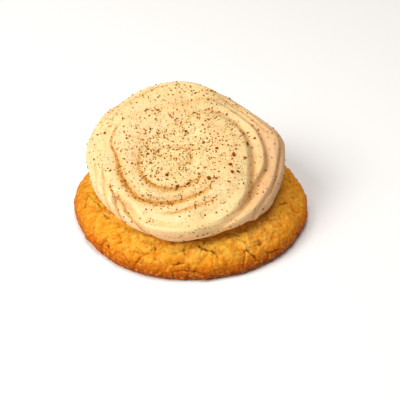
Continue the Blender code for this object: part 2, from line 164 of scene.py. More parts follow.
FLOOR_SIZE = 4.0
select_only(None)
bpy.ops.mesh.primitive_plane_add(size=FLOOR_SIZE, location=(0, 0, cad_low.z))
floor = named("floor")
paper, _, shader = new_material("white paper", 0.9)
shader.inputs["Base Color"].default_value = (0.92, 0.92, 0.92, 1)
floor.data.materials.append(paper)
print("floor at", tenths(cad_low.z / MM), "mm")

# %% [markdown]
# ## Going round
#
# Round food is easiest to describe by going round it. An angle here is in degrees,
# counted counter-clockwise from the front as seen from above.

# %% Angles, radii and slow waves
def front_angle(degrees):
    """Radians round +X for an angle counted from the front."""
    return np.radians(degrees) - math.pi / 2


def on_disc(angle, radius):
    """Places x, y seen from above, for an angle in radians and a radius."""
    return np.stack([radius * np.cos(angle), radius * np.sin(angle)], -1)


def polar(places):
    """Angle in radians and radius of places, seen from above."""
    return np.arctan2(places[:, 1], places[:, 0]), np.linalg.norm(places[:, :2], axis=1)


def run_along(line):
    """How far along a line each of its points lies."""
    return np.concatenate([[0], np.cumsum(np.linalg.norm(np.diff(line, axis=0), axis=1))])


def wobble(angle, waves):
    """Slow unevenness round a ring: a sum of (count, size, shift) waves."""
    return sum(size * np.cos(count * angle + math.radians(shift))
               for count, size, shift in waves)


def ease(value, start, end):
    """0 before start, 1 after end, and a straight slope between."""
    return np.clip((value - start) / (end - start), 0, 1)


print("the right side is at", math.degrees(front_angle(90)), "degrees round +X")

# %% [markdown]
# ## The cookie: a turned crust
#
# The dough spread in the oven to a flat-topped round with a soft shoulder and a crisp
# foot. A shape like that is turned: one point is extruded along half of the section,
# and a Screw modifier turns the line round the middle. Only the ring that shows gets
# the fine mesh, about a third of a millimetre, because the crumb is that fine.

# %% Sizes of the cookie, in millimetres
COOKIE_RADIUS = 50.0
COOKIE_BELLY = 3.8  # height at which the cookie is widest
COOKIE_TOP = 13.2  # height of its flat top
COOKIE_FLAT = 34.0  # radius at which the top starts to fall away
COOKIE_FOOT = 47.4  # radius of the flat underside
COOKIE_FALL = 2.2  # how late the top edge turns down
COOKIE_WOBBLE = ((2, 0.45, 20.0), (4, 0.30, 75.0), (6, 0.22, 10.0))
CRUST_STEP = 0.36  # spacing of the fine rows
CRUST_SIDES = 840  # how many turns of the section go round
# Radii of the coarse rows under the icing, and of those on the flat underside.
TOP_RADII = (0, 8, 16, 23, 28, 31.5, 33.3)
UNDER_RADII = (46.4, 43, 36, 26, 14, 0)


def cookie_top(radius):
    """Height of the smooth top over which all relief is carved."""
    fall = np.clip((radius - COOKIE_FLAT) / (COOKIE_RADIUS - COOKIE_FLAT), 0, 1)
    return COOKIE_BELLY + (COOKIE_TOP - COOKIE_BELLY) * np.sqrt(1 - fall**COOKIE_FALL)


def crust_section():
    """(radius, height) down the visible crust, evenly spaced, from the icing to the foot."""
    # Dense points first, closer together towards the rim.
    turn = np.sin(np.linspace(0, math.pi / 2, 400)) ** 1.1
    radius = COOKIE_FLAT + (COOKIE_RADIUS - COOKIE_FLAT) * turn
    under = np.linspace(0, math.pi / 2, 60)[1:]
    lower = np.stack([COOKIE_FOOT + (COOKIE_RADIUS - COOKIE_FOOT) * np.cos(under),
                      COOKIE_BELLY * (1 - np.sin(under))], -1)
    line = np.vstack([np.stack([radius, cookie_top(radius)], -1), lower])
    run = run_along(line)
    even = np.linspace(0, run[-1], round(run[-1] / CRUST_STEP))
    return np.stack([np.interp(even, run, values) for values in line.T], -1)


section = crust_section()
print("the section has", len(section), "fine rows")

# %% Extrude the section by hand and turn it
def apply_all(thing):
    """Apply every modifier, top to bottom."""
    select_only(thing)
    for modifier in list(thing.modifiers):
        bpy.ops.object.modifier_apply(modifier=modifier.name)


def edit_all():
    """Edit mode, with the whole of the active mesh selected."""
    bpy.ops.object.mode_set(mode="EDIT")
    bpy.ops.mesh.select_all(action="SELECT")


def close_seams(thing):
    """Merge the vertices that lie on one another, and turn all faces outwards."""
    select_only(thing)
    edit_all()
    bpy.ops.mesh.remove_doubles(threshold=1e-6)
    bpy.ops.mesh.normals_make_consistent(inside=False)
    bpy.ops.object.mode_set(mode="OBJECT")


top_points = [(radius, COOKIE_TOP) for radius in TOP_RADII]
under_points = [(radius, 0.0) for radius in UNDER_RADII]
outline = np.vstack([top_points, section, under_points]) * MM
select_only(None)
bpy.ops.mesh.primitive_plane_add(size=CRUST_STEP * MM)
crust = named("cookie_crust")
edit_all()
bpy.ops.mesh.merge(type="CENTER")
bpy.ops.transform.translate(value=(outline[0][0], 0, outline[0][1]))
for outwards, up in np.diff(outline, axis=0):
    bpy.ops.mesh.extrude_region_move(TRANSFORM_OT_translate={"value": (outwards, 0, up)})
bpy.ops.object.mode_set(mode="OBJECT")
turned = crust.modifiers.new("turned", "SCREW")
turned.steps = turned.render_steps = CRUST_SIDES
turned.use_merge_vertices = True
turned.merge_threshold = 1e-6
apply_all(crust)
close_seams(crust)
print("turned crust:", len(crust.data.vertices), "vertices")

# %% [markdown]
# ## Cracks, crazing and crumb
#
# As the inside went on rising the dry skin tore: long cracks, and between them plates
# with a finer net of crazing. Each is a mask painted on the vertices by their distance
# to a smooth path through a few stations, and a Displace modifier presses the skin in
# where the mask says. A little noise in that distance makes torn edges instead of cut
# ones. Cloud and cell textures in further Displace modifiers raise the crumb.

# %% The long cracks and the plates
# (angle, radius, depth) along each crack, then its half width.
CRACKS = (
    (((5, 41.4, 0.9), (7, 42.2, 2.1), (9, 43.3, 2.2), (11, 43.9, 1.5), (12.5, 44.5, 1.8),
      (13.5, 45.4, 1.3), (14, 47.0, 0.7), (14, 48.8, 0.4)), 2.0),
    (((-1, 39.6, 0.4), (-2.5, 41.7, 1.2), (-3.5, 43.1, 1.5), (-5.5, 44.1, 1.2), (-8, 45.5, 0.5)),
      2.0),
    (((-21, 39.5, 0.4), (-19.5, 42.0, 0.8), (-19, 43.6, 1.3), (-18.5, 45.1, 1.4),
      (-18, 46.0, 0.4)), 1.9),
    (((-31, 46.4, 0.5), (-29, 47.0, 1.1), (-27.5, 47.6, 1.2), (-25, 47.4, 0.4)), 1.9),
    (((-42, 47.9, 0.6), (-40, 47.0, 1.5), (-38, 46.2, 0.7)), 2.0),
    (((-44, 43.9, 0.5), (-42.5, 44.2, 1.2), (-41, 44.4, 0.5)), 1.9),
    (((-87, 44.7, 0.6), (-78, 41.8, 1.1), (-70, 40.4, 1.1), (-64, 41.0, 1.2), (-54, 40.8, 0.6)),
      2.2),
    (((-46.5, 49.8, 1.0), (-45, 51.2, 2.1), (-43.5, 52.8, 1.2)), 3.0),
    (((-11, 50.2, 0.5), (-7.5, 50.0, 1.1), (-5, 49.3, 1.2), (-2, 48.7, 0.5)), 1.9),
    (((24, 35.8, 0.4), (24.5, 38.0, 1.4), (25.5, 39.6, 0.5)), 1.9),
    (((28.5, 37.4, 0.4), (30, 39.2, 1.3), (32, 40.6, 0.5)), 1.9),
    (((36.5, 37.6, 0.4), (38, 39.3, 1.4), (40, 40.6, 1.3), (43, 41.0, 0.4)), 1.9),
    (((35, 46.8, 0.5), (38.5, 47.2, 1.3), (41, 47.8, 0.6)), 2.0),
    (((69, 39.2, 0.5), (73, 40.2, 1.2), (77, 43.0, 1.7), (74, 45.6, 1.7), (72, 49.6, 0.9)), 2.2),
    (((112, 43.0, 0.6), (118, 46.0, 1.4), (128, 47.2, 1.6), (137, 49.6, 0.7)), 2.2),
    (((150, 49.0, 0.7), (161, 46.4, 1.6), (172, 47.2, 1.5), (183, 45.0, 0.6)), 2.2),
    (((205, 43.6, 0.6), (212, 46.6, 1.5), (224, 47.4, 1.5), (229, 49.8, 0.7)), 2.2),
    (((246, 41.0, 0.5), (252, 43.4, 1.2), (250, 46.8, 1.3), (257, 49.4, 0.6)), 2.0),
)
CRAZE_STEP = 9.5  # size of the plates that the crazing leaves
CRAZE_DEPTH = 0.7
CRAZE_HALF_WIDTH = 2.2
CRAZE_PATCH = 12.0  # size of the patches in which the crazing comes and goes
CRAZE_JITTER = (0.35, 0.3)  # how far a plate is off its place, round and outwards
CRAG_SIZE = 6.0
CRAG_DEPTH = 0.7
SEED = 11


def craze_seeds():
    """Middles of the plates between the fine cracks, seeded, over the bare ring."""
    draw = random.Random(SEED)
    sideways, outwards = CRAZE_JITTER
    seeds = []
    for radius in np.arange(COOKIE_FLAT, COOKIE_RADIUS + CRAZE_STEP, CRAZE_STEP * 0.8):
        count = round(2 * math.pi * radius / CRAZE_STEP)
        for index in range(count):
            angle = 2 * math.pi * (index + draw.uniform(-sideways, sideways)) / count
            out = radius + draw.uniform(-outwards, outwards) * CRAZE_STEP
            seeds.append(on_disc(angle, out))
    return np.array(seeds)


print(len(CRACKS), "long cracks and", len(craze_seeds()), "plates")

# %% [markdown]
# ### Numbers on the vertices
#
# Numbers that describe the whole surface, such as how deep a crack is, are kept on the
# vertices: as a vertex group where a modifier reads them, and as an attribute where a
# material does.

# %% Reading places and keeping numbers
def places_of(thing):
    """The vertices of an object in millimetres, one row each."""
    places = np.empty(len(thing.data.vertices) * 3, np.float32)
    thing.data.vertices.foreach_get("co", places)
    return places.reshape(-1, 3).astype(float) / MM


def move_to(thing, places):
    """Put the vertices of an object at places given in millimetres."""
    thing.data.vertices.foreach_set("co", (places * MM).astype(np.float32).ravel())
    thing.data.update()


def keep(thing, name, values):
    """Store one number per vertex for the materials."""
    store = thing.data.attributes.new(name, "FLOAT", "POINT")
    store.data.foreach_set("value", np.asarray(values, np.float32))


def mask(thing, name, weights):
    """A vertex group with a weight from 0 to 1 for each vertex."""
    group = thing.vertex_groups.new(name=name)
    steps = np.round(np.clip(weights, 0, 1) * 255).astype(int)
    for step in range(1, 256):
        found = np.flatnonzero(steps == step)
        if len(found):
            group.add(found.tolist(), step / 255, "REPLACE")
    return name


crust_places = places_of(crust)
crust_angle, crust_radius = polar(crust_places)
print("the smooth crust is", tenths(2 * crust_radius.max()), "mm across")

# %% Unroll the crust, so that distances run along its skin
def grain(places, size, seed=0.0):
    """Smooth noise between about -1 and 1, with lumps of the given size."""
    shift = Vector((seed, seed * 0.7, -seed))
    return np.array([noise.noise(Vector(place / size) + shift) for place in places])


TEARS = ((2.2, 0.65), (0.9, 0.45))  # size and reach of the waves in a torn edge
BARE_RING = (1, 5)  # from the icing's edge out, where the relief fades in
FOOT_FADE = (0.1, 2.0)  # heights over which it fades out at the foot
section_run = COOKIE_FLAT + run_along(section)
fall_angle = np.arctan2(section[:, 1] - COOKIE_BELLY, section[:, 0] - COOKIE_FLAT)
place_angle = np.arctan2(crust_places[:, 2] - COOKIE_BELLY, crust_radius - COOKIE_FLAT)
crust_run = np.interp(-place_angle, -fall_angle, section_run)
unrolled = on_disc(crust_angle, crust_run)
torn = unrolled + sum(
    reach * np.stack([grain(crust_places, size, seed) for seed in (3.0, 9.0)], -1)
    for size, reach in TEARS)
crust_height = crust_places[:, 2]
bare = ease(crust_radius - COOKIE_FLAT, *BARE_RING)
bare = np.where(crust_height > COOKIE_TOP / 2, bare, 1) * ease(crust_height, *FOOT_FADE)
print("skin unrolled to a disc of radius", tenths(crust_run.max()), "mm")

# %% Distances to the cracks and to the plate edges
def smooth_path(stations, steps=24):
    """Points along a Catmull-Rom curve through the stations."""
    stations = np.array(stations, float)
    ends = 2 * stations[[0, -1]] - stations[[1, -2]]
    padded = np.vstack([ends[:1], stations, ends[1:]])
    t = np.linspace(0, 1, steps, endpoint=False)[:, None]
    runs = []
    for a, b, c, d in zip(padded, padded[1:], padded[2:], padded[3:]):
        runs.append(0.5 * (2 * b + (c - a) * t + (2 * a - 5 * b + 4 * c - d) * t**2
                           + (3 * b - a - 3 * c + d) * t**3))
    return np.vstack(runs + [stations[-1:]])


def press(distance, half_width):
    """1 in a crease's sharp bottom, running out smoothly to 0 at its shoulders."""
    return np.clip(1 - distance / half_width, 0, 1) ** 2


HAIRLINE = 0.8  # half width of the dark split in the middle of a crack
VALLEY_SHARE = 0.45  # share of a crack's depth that is its wide valley
SPLIT_PATCH = 2.4  # size of the bridges that break a split up
NARROWER = 0.8  # of the solid's width of crazing
BLOCK = 4000  # points whose distances are measured at once


def distances(points, others):
    """Distances between points and all the others, a block at a time."""
    for block in np.array_split(points, max(1, len(points) // BLOCK)):
        yield np.linalg.norm(block[:, None] - others[None], axis=-1)


def nearest(points, line):
    """For each point the nearest point of a dense line, and its distance."""
    found = [(gaps.argmin(axis=1), gaps.min(axis=1)) for gaps in distances(points, line)]
    return [np.concatenate(blocks) for blocks in zip(*found)]


def plate_edges(points, seeds):
    """How much nearer the first seed is than the second: 0 on the edge of a plate."""
    two = [np.partition(gaps, 1, axis=1)[:, :2] for gaps in distances(points, seeds)]
    return np.diff(np.concatenate(two), axis=1)[:, 0]


valley, split = np.zeros((2, len(torn)))
for stations, half_width in CRACKS:
    path = smooth_path(stations)
    at, distance = nearest(torn, on_disc(front_angle(path[:, 0]), path[:, 1]))
    valley += VALLEY_SHARE * path[at, 2] * press(distance, half_width)
    split = np.maximum(split, path[at, 2] / 2 * press(distance, HAIRLINE))
split *= np.clip(0.85 + 1.5 * grain(crust_places, SPLIT_PATCH, seed=4.0), 0, 1)
edge = plate_edges(torn, craze_seeds())
# Here and there the skin stays whole.
patchy = np.clip(0.5 + 1.5 * grain(crust_places, CRAZE_PATCH), 0, 1)
craze = patchy * press(edge, NARROWER * CRAZE_HALF_WIDTH)
craze_split = patchy ** 2 * press(edge, HAIRLINE)
print("deepest crack", tenths(valley.max()), "mm")

# %% Press them in
def displace(thing, name, depth, group, kind=None, size=1.0, octaves=0):
    """Move the skin out by a depth in millimetres, where a group and a texture say."""
    modifier = thing.modifiers.new(name, "DISPLACE")
    modifier.strength = depth * MM
    modifier.mid_level = 0.5 if kind else 0.0
    modifier.texture_coords = "LOCAL"
    modifier.vertex_group = group
    if kind:
        modifier.texture = bpy.data.textures.new(name, kind)
        modifier.texture.noise_scale = size * MM
    if octaves:
        modifier.texture.noise_depth = octaves


DEEPEST = 3.5
SPLIT_DEPTH = 1.4
CRAZE_SPLIT = 0.3  # how deep the crazing splits, as a part of that
VALLEY_SHADE = 0.175
CRAZE_SHADE = 0.3
crust_relief = bare * (valley + CRAZE_DEPTH * craze
                       + CRAG_DEPTH * np.clip(0.5 - grain(crust_places, CRAG_SIZE), 0, 1))
splits = bare * np.maximum(split, CRAZE_SPLIT * craze_split)
displace(crust, "cracks", -DEEPEST, mask(crust, "cracks", crust_relief / DEEPEST))
displace(crust, "splits", -SPLIT_DEPTH, mask(crust, "splits", splits))
# Painted shade in the cracks: darkest in the splits, lighter in the wide valleys and the
# crazing.
keep(crust, "crack", np.clip(splits + VALLEY_SHADE * valley + CRAZE_SHADE * craze, 0, 1))
print("crust relief pressed to", tenths(crust_relief.max()), "mm")

# %% Raise the crumb, roughest where the crust flakes at the front right
FLAKY_ANGLE = 42
FLAKY_RADIUS = 41.0
FLAKY_REACH = (6, 15)  # full up to the first distance, none after the second
flaky_middle = on_disc(front_angle(FLAKY_ANGLE), FLAKY_RADIUS)
flaky = bare * (1 - ease(np.linalg.norm(unrolled - flaky_middle, axis=1), *FLAKY_REACH))
mask(crust, "bare", bare)
mask(crust, "flaky", flaky)
# Depth, mask, texture, size of its lumps and octaves.
displace(crust, "flaky crumb", 1.7, "flaky", "CLOUDS", 2.6, 2)
displace(crust, "puffs", 1.0, "bare", "CLOUDS", 3.2, 1)
displace(crust, "crumbs", -0.6, "bare", "VORONOI", 2.2)
displace(crust, "sugar grains", 0.35, "bare", "CLOUDS", 1.0, 1)
keep(crust, "pale crumb", flaky)
apply_all(crust)
print("flaky crumb on", tenths(100 * (flaky > 0).mean()), "% of the vertices")

# %% The oval outline, and a smooth finish
crust_places = places_of(crust)
around, out = polar(crust_places)
share = ease(out, COOKIE_FLAT, COOKIE_FOOT)
swell = 1 + share * wobble(around, COOKIE_WOBBLE) / np.maximum(out, 1)
crust_places[:, :2] *= swell[:, None]
crust_places[:, 2] = np.maximum(crust_places[:, 2], 0)
move_to(crust, crust_places)
select_only(crust)
bpy.ops.object.shade_smooth()
crust.vertex_groups.clear()
print("crust spans", tenths(np.ptp(crust_places, axis=0)), "mm; the solid",
      tenths((cookie_high - cookie_low) / MM))

# %% [markdown]
# ## The icing: a spread swirl
#
# The icing is one soft lump that leans towards the front, with strands wound into it by
# the knife. No operator winds a swirl, so a fine grid primitive is rolled up like a
# sheet: its rows become rings on a loft through four tilted ovals, which are the middle,
# the lip, the widest place and the foot, and its sides meet in a seam that is merged.
# The folds between strands are pressed in on the way, steep on the inner side and gentle
# on the outer.

# %% Sizes of the icing, in millimetres
GAP = 0.3  # clearance between the icing and the cookie
ICING_SIDES = 500
# Middle x, y, z, radius, slope along x and y, and length along y over length along x.
RINGS = (
    (-5.5, -5.0, 32.6, 0.0, 0.03, 0.27, 1.13),
    (-7.3, -1.4, 32.4, 31.2, 0.03, 0.27, 1.13),
    (-1.9, -0.7, 25.2, 41.9, -0.03, 0.11, 1.0),
    (-1.6, -0.8, 12.9, 37.3, 0.0, 0.0, 1.0),
)
LIP_DROOP = 0.32  # how far the top already leans down at the lip
SHOULDER_FULLNESS = 1.10
BELLY_FULLNESS = 1.1
TUCK = (0.75, 0.65)  # inward and downward lean of the side at the foot
BELLY_WOBBLE = ((3, 1.3, -105.0),)
FOOT_WOBBLE = ((4, 1.7, 48.0),)
BELLY_SHARES = (0, 0, 1, 0)  # how much of each wobble the four ovals have
FOOT_SHARES = (0, 0, 0.33, 1)


def ring_point(index, angle):
    """Points of one of the four ovals."""
    x, y, z, radius, slope_x, slope_y, stretch = RINGS[index]
    radius = radius + BELLY_SHARES[index] * wobble(angle, BELLY_WOBBLE)
    radius = radius + FOOT_SHARES[index] * wobble(angle, FOOT_WOBBLE)
    east = radius * np.cos(angle)
    north = stretch * radius * np.sin(angle)
    return np.stack([x + east, y + north, z + slope_x * east + slope_y * north], -1)


def bow(start, end, leave, arrive, t):
    """Cubic from start to end that leaves and arrives along two vectors."""
    t = t[..., None]
    return ((2 * t**3 - 3 * t**2 + 1) * start + (t**3 - 2 * t**2 + t) * leave
            + (3 * t**2 - 2 * t**3) * end + (t**3 - t**2) * arrive)


def length(vector):
    """How long it is, as a column."""
    return np.linalg.norm(vector, axis=-1, keepdims=True)


def unit(vector):
    """The same direction with length 1."""
    return vector / length(vector)


def icing_point(angle, level):
    """The smooth body at levels 0 middle, 1 lip, 2 widest and 3 foot."""
    angle, level = np.broadcast_arrays(np.asarray(angle, float), level)
    middle, lip, belly, foot = (ring_point(index, angle) for index in range(4))
    down = np.array([0.0, 0.0, -1.0])
    inward = -np.stack([np.cos(angle), np.sin(angle), 0 * angle], -1)
    over = unit(unit(lip - middle) + LIP_DROOP * down)
    shoulder = SHOULDER_FULLNESS * length(belly - lip)
    side = BELLY_FULLNESS * length(foot - belly)
    tuck = TUCK[0] * inward + TUCK[1] * down
    flat = lip - np.array(RINGS[1][:3])
    top = bow(middle, lip, flat, over * length(lip - middle), np.clip(level, 0, 1))
    edge = bow(lip, belly, over * shoulder, down * shoulder, np.clip(level - 1, 0, 1))
    wall = bow(belly, foot, down * side, tuck * side, np.clip(level - 2, 0, 1))
    level = level[..., None]
    return np.where(level < 1, top, np.where(level < 2, edge, wall))


print("the widest oval is", 2 * RINGS[2][3], "mm across")

# %% [markdown]
# ### The folds
#
# Each fold is a path of (angle, level, depth) stations over the body. The first three
# are the strands of the swirl, which climb counter-clockwise from the right of the foot
# to the middle; the others are the flutes at the left of the front, the strands at the
# back and the curl in the middle.

# %% The folds: stations, then the half width inside and outside
FOLDS = (
    (((338, 2.45, 0.0), (346, 2.30, 0.9), (353, 2.20, 1.5), (362, 2.18, 1.8), (369, 2.03, 1.9),
      (377, 1.88, 2.0), (384, 1.80, 2.1), (391, 1.73, 2.3), (401, 1.62, 2.5), (411, 1.53, 2.7),
      (420, 1.41, 2.8), (432, 1.26, 2.8), (448, 1.17, 2.8), (461, 1.11, 2.6), (471, 1.03, 2.3),
      (484, 0.92, 1.7), (500, 0.80, 1.1), (532, 0.50, 0.6), (571, 0.38, 0.5), (620, 0.45, 0.6),
      (654, 0.52, 0.9), (687, 0.54, 1.1), (721, 0.52, 1.0), (738, 0.49, 0.8), (755, 0.48, 0.5),
      (770, 0.52, 0.0)), 4.2, 9.0),
    (((47, 1.50, 0.6), (54, 1.49, 1.8), (60, 1.48, 2.5), (66, 1.46, 2.9), (73, 1.47, 3.1),
      (80, 1.50, 3.2), (87, 1.49, 3.2), (95, 1.45, 3.2), (102, 1.41, 3.0), (111, 1.36, 2.7),
      (121, 1.25, 2.3), (134, 1.12, 1.8), (148, 0.95, 1.2), (171, 0.75, 0.7), (206, 0.70, 0.6),
      (240, 0.84, 0.9), (259, 0.87, 1.3), (274, 0.78, 1.6), (294, 0.77, 1.9), (311, 0.78, 2.1),
      (326, 0.80, 2.1), (337, 0.78, 2.0), (350, 0.75, 1.8), (362, 0.72, 1.6), (379, 0.70, 1.2),
      (391, 0.71, 0.9), (408, 0.68, 0.4), (420, 0.68, 0.0)), 3.4, 9.0),
    (((37, 2.90, 0.8), (41, 2.40, 1.0), (46, 2.04, 1.2), (56, 1.90, 1.5), (65, 1.86, 1.8),
      (74, 1.82, 2.0), (82, 1.80, 2.1), (90, 1.79, 2.1), (98, 1.81, 2.1), (107, 1.79, 2.0),
      (114, 1.68, 1.9), (122, 1.60, 1.8), (131, 1.52, 1.9), (145, 1.32, 1.9), (162, 1.15, 1.7),
      (200, 0.98, 1.3), (240, 0.96, 0.7), (275, 0.93, 0.0)), 2.6, 4.5),
    (((62, 2.30, 0.0), (75, 2.10, 0.7), (90, 2.02, 0.9), (105, 2.02, 0.9), (120, 1.88, 1.0),
      (135, 1.72, 1.0), (152, 1.50, 0.9), (170, 1.36, 0.0)), 2.2, 2.4),
    (((100, 1.56, 0.0), (112, 1.50, 0.6), (124, 1.40, 0.7), (136, 1.28, 0.7), (150, 1.14, 0.0)),
      1.8, 2.0),
    (((345, 0.92, 0.0), (361, 0.90, 0.6), (374, 0.86, 0.7), (393, 0.89, 0.6), (408, 0.92, 0.0)),
      3.5, 4.0),
    (((118, 2.75, 1.2), (132, 2.35, 2.0), (150, 2.00, 2.4), (175, 1.68, 2.6), (205, 1.45, 2.2),
      (235, 1.30, 1.4), (262, 1.20, 0.6), (280, 1.12, 0.0)), 4.6, 4.6),
    (((172, 2.80, 1.2), (188, 2.45, 2.0), (210, 2.10, 2.4), (235, 1.85, 2.0), (262, 1.65, 1.1),
      (282, 1.50, 0.0)), 4.4, 4.6),
    (((21, 1.95, 0.0), (25, 2.35, 1.2), (27, 2.85, 1.6)), 2.4, 3.4),
    (((306, 0.94, 0.0), (313, 0.98, 0.9), (318, 1.06, 1.9), (321, 1.20, 2.8), (324, 1.42, 3.4),
      (327, 1.70, 3.5), (330, 1.98, 3.3), (333, 2.20, 3.0), (337, 2.50, 2.3), (341, 2.90, 1.5)),
      4.5, 3.0),
    (((296, 0.95, 0.0), (303, 0.98, 0.8), (309, 1.05, 1.6), (312, 1.35, 2.4), (314, 1.85, 2.6),
      (316, 2.30, 2.4), (318, 2.90, 1.7)), 3.6, 3.2),
    (((280, 0.98, 0.0), (288, 1.00, 0.8), (295, 1.14, 1.5), (300, 1.55, 1.8), (303, 2.00, 1.8),
      (305, 2.40, 1.6), (307, 2.90, 1.1)), 3.6, 3.2),
    (((270, 1.15, 0.0), (275, 1.30, 0.9), (281, 1.42, 1.3), (287, 1.52, 1.1), (291, 1.85, 0.9),
      (294, 2.30, 0.8), (296, 2.90, 0.6)), 2.8, 2.8),
    (((285, 0.39, 0.0), (276, 0.30, 0.3), (234, 0.20, 0.4), (193, 0.12, 0.5), (129, 0.14, 0.5),
      (87, 0.19, 0.5), (49, 0.20, 0.4), (-6, 0.17, 0.0)), 2.0, 2.4),
)
# Broad swells, and hollows where the height is negative: angle, level, height, reach.
SWELLS = (
    (238, 1.50, 2.3, 13.0), (205, 1.20, 1.9, 14.0), (172, 1.30, 2.2, 13.0),
    (141, 1.50, -1.2, 9.0), (150, 1.85, 1.0, 9.0), (108, 1.90, 2.5, 9.0),
    (74, 2.60, -1.9, 8.0), (44, 2.60, -0.9, 7.0), (19, 2.50, -3.6, 8.5),
    (335, 2.95, -1.9, 8.0), (272, 2.40, -1.1, 8.0), (166, 0.80, -1.4, 6.5),
    (46, 2.45, 1.5, 2.2),
)
HEART = (-4.0, -1.5, 20.0)  # middle of the flat ball that the icing grows from
HEART_AXIS = (0.0, -0.2, 1.0)
HEART_FLATNESS = 8.0
LUMP_SIZE = 15.0
LUMP_HEIGHT = 0.45


def outward(place):
    """Direction away from the flat heart of the icing, in which it swells or sinks."""
    offset = place - np.array(HEART)
    axis = unit(np.array(HEART_AXIS))
    return unit(offset + (HEART_FLATNESS - 1) * (offset @ axis)[..., None] * axis)


def swelling(places):
    """How far the broad swells push the icing out at each place."""
    raised = np.zeros(len(places))
    for angle, level, height, reach in SWELLS:
        distance = np.linalg.norm(places - icing_point(front_angle(angle), level), axis=1)
        raised += height * np.exp(-(distance / reach) ** 2)
    return raised


def fold_paths():
    """Each fold as (places, headings, depths, half width inside, half width outside)."""
    for stations, inside, outside in FOLDS:
        path = smooth_path(stations)
        line = icing_point(front_angle(path[:, 0]), path[:, 1])
        heading = np.gradient(line, axis=0)
        if stations[-1][0] < stations[0][0]:
            heading = -heading
        yield line, heading, np.clip(path[:, 2], 0, None), inside, outside


print(len(FOLDS), "folds")

# %% How deep the folds press, and which side of each a place is on
SEAM = 1.2  # half width of the line of cocoa and painted shade in the bottom of a fold
BANK = (1.0, 1.3, 2.0)  # how far cocoa lies up a fold: inside, outside, more in front
BANK_FRONT = 22  # how far in front it lies highest


def roll(distance, half_width):
    """A rounded wall that comes down to a crease: 1 in the crease, 0 at its top."""
    near = np.clip(1 - distance / half_width, 0, 1)
    return near ** 2 * (3 - 2 * near)


def fold_depth(places, normals):
    """The depth pressed in, how much cocoa gathers there, and the line of cocoa and painted
    shade at its bottom.
    """
    sunk, gathered, seam = np.zeros((3, len(places)))
    inner, outer, more = BANK
    bank = outer + more * ease(-places[:, 1], 0, BANK_FRONT)
    for line, heading, depths, inside, outside in fold_paths():
        offset = places[:, None] - line[None]
        at = np.linalg.norm(offset, axis=-1).argmin(axis=1)
        gap = offset[np.arange(len(places)), at]
        distance = np.linalg.norm(gap, axis=1)
        side = (np.cross(heading[at], normals) * gap).sum(axis=1)
        depth = depths[at]
        sunk += depth * np.where(side < 0, roll(distance, inside), press(distance, outside))
        reach = np.where(side < 0, inner, bank)
        gathered = np.maximum(gathered, depth * press(distance, reach))
        seam = np.maximum(seam, depth * press(distance, SEAM))
    return sunk, gathered, seam


def seat(place):
    """Height of the icing's underside over each place."""
    return cookie_top(np.linalg.norm(place[..., :2], axis=-1)) + GAP


print("fold rule ready")

# %% A fine sheet, to be rolled up ring by ring
# (first level, last level, rings): close together where the creases are.
SPACING = ((0.0, 1.0, 85), (1.02, 2.0, 40), (2.03, 3.0, 32))
UNDER_SHARES = (0.985, 0.95, 0.86, 0.6, 0.3, 0.0)  # radii of the rings underneath
levels = np.concatenate([np.linspace(*span) for span in SPACING])
ring_count = len(levels) + len(UNDER_SHARES)
select_only(None)
bpy.ops.mesh.primitive_grid_add(x_subdivisions=ICING_SIDES, y_subdivisions=ring_count - 1,
                                size=2.0)
icing = named("icing_swirl")
sheet = places_of(icing) * MM
sheet_angle = (sheet[:, 0] + 1) * math.pi
ring_of = np.rint((sheet[:, 1] + 1) / 2 * (ring_count - 1)).astype(int)
print("sheet:", len(sheet), "vertices in", ring_count, "rings")

# %% Lay the rings
STREAK_STEP = 0.085  # level between the knife's fine streaks
STREAK_HEIGHT = 0.10
STREAK_CLIMB = 0.35  # level that a streak climbs in one turn
STREAK_WAVES = 1.5  # unevenness along a streak, waves for each radian
STREAK_FADE = (0.1, 0.4)  # levels over which the streaks begin
laid = sheet.copy()
sunk_at, cocoa_at, seam_at = np.zeros((3, len(sheet)))
level_at = np.full(len(sheet), 3.0)
for number, level in enumerate(levels):
    here = np.flatnonzero(ring_of == number)
    body = icing_point(sheet_angle[here], level)
    normal = outward(body)
    sunk, gathered, seam = fold_depth(body, normal)
    winding = level + sheet_angle[here] / (2 * math.pi) * STREAK_CLIMB
    streaks = np.array([noise.noise(Vector((value / STREAK_STEP, angle * STREAK_WAVES, 7)))
                        for value, angle in zip(winding, sheet_angle[here])])
    fine = STREAK_HEIGHT * ease(level, *STREAK_FADE) * streaks
    push = LUMP_HEIGHT * grain(body, LUMP_SIZE) + swelling(body) + fine - sunk
    laid[here] = body + push[:, None] * normal
    sunk_at[here], cocoa_at[here], seam_at[here] = sunk, gathered, seam
    level_at[here] = level
last_ring = ring_of == len(levels) - 1
foot, foot_angle = laid[last_ring], sheet_angle[last_ring]
print("laid", len(levels), "rings; deepest fold", tenths(sunk_at.max()), "mm")

# %% Bring the wall down onto the crust and close the underside
rise = seat(foot) - foot[:, 2]


def round_foot(angle, values):
    """Values known round the foot, read at other angles."""
    return np.interp(angle, foot_angle, values)


lowering = np.clip(level_at - 2, 0, 1) ** 2
wall = ring_of < len(levels)
laid[wall, 2] += (lowering * round_foot(sheet_angle, rise))[wall]
for number, share in enumerate(UNDER_SHARES, start=len(levels)):
    here = np.flatnonzero(ring_of == number)
    for axis in (0, 1):
        middle = RINGS[-1][axis]
        edge = round_foot(sheet_angle[here], foot[:, axis])
        laid[here, axis] = middle + share * (edge - middle)
    laid[here, 2] = seat(laid[here])
move_to(icing, laid)
print("the wall came down by up to", tenths(-rise.min()), "mm")

